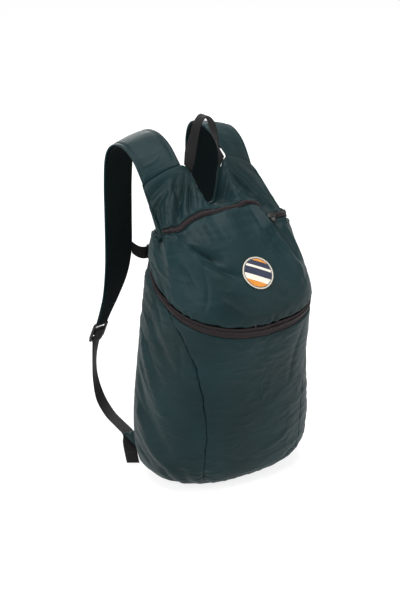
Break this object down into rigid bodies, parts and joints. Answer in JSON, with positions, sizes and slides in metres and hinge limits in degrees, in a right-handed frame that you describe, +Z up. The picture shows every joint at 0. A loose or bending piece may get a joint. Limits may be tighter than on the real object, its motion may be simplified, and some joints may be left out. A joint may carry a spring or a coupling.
{
  "type": "packable backpack",
  "caption": "Light packable nylon backpack, stuffed and standing on its flat base, with a zipped top pocket, padded shoulder straps, a chest strap and a grab loop.",
  "frame": {"origin": "middle of the flat base, on the surface that the bag stands on", "axes": "+Z up, the pocket and patch face -Y, the shoulder straps hang on +Y, +X is the wearer's right"},
  "size_m": [0.2822, 0.3399, 0.5536],
  "materials": {
    "nylon": "light ripstop nylon with a slight sheen, dark teal green",
    "mesh_lining": "near-black spacer mesh",
    "webbing": "black woven webbing",
    "zip_coil": "brownish black coil zip",
    "plastic": "black moulded plastic",
    "patch_print": "woven patch with slanting navy, cream and orange stripes"
  },
  "bodies": {
    "root": {"base_panel": "nylon", "front_lower_panel": "nylon", "upper_front_panel": "nylon", "back_panel": "nylon", "side_panel_left": "nylon", "side_panel_right": "nylon", "lower_zip": "zip_coil", "upper_zip": "zip_coil", "lower_zip_slider": "plastic", "upper_zip_slider": "plastic", "round_patch": "patch_print", "neck_binding": "nylon", "grab_loop": "webbing", "shoulder_strap_left": "nylon", "shoulder_strap_right": "nylon", "strap_lining_left": "mesh_lining", "strap_lining_right": "mesh_lining", "ladder_lock_left": "plastic", "ladder_lock_right": "plastic", "side_tab_left": "nylon", "side_tab_right": "nylon", "lower_webbing_left": "webbing", "lower_webbing_right": "webbing", "sternum_webbing_left": "webbing", "sternum_webbing_right": "webbing", "sternum_clasp": "plastic"}
  },
  "joints": []
}
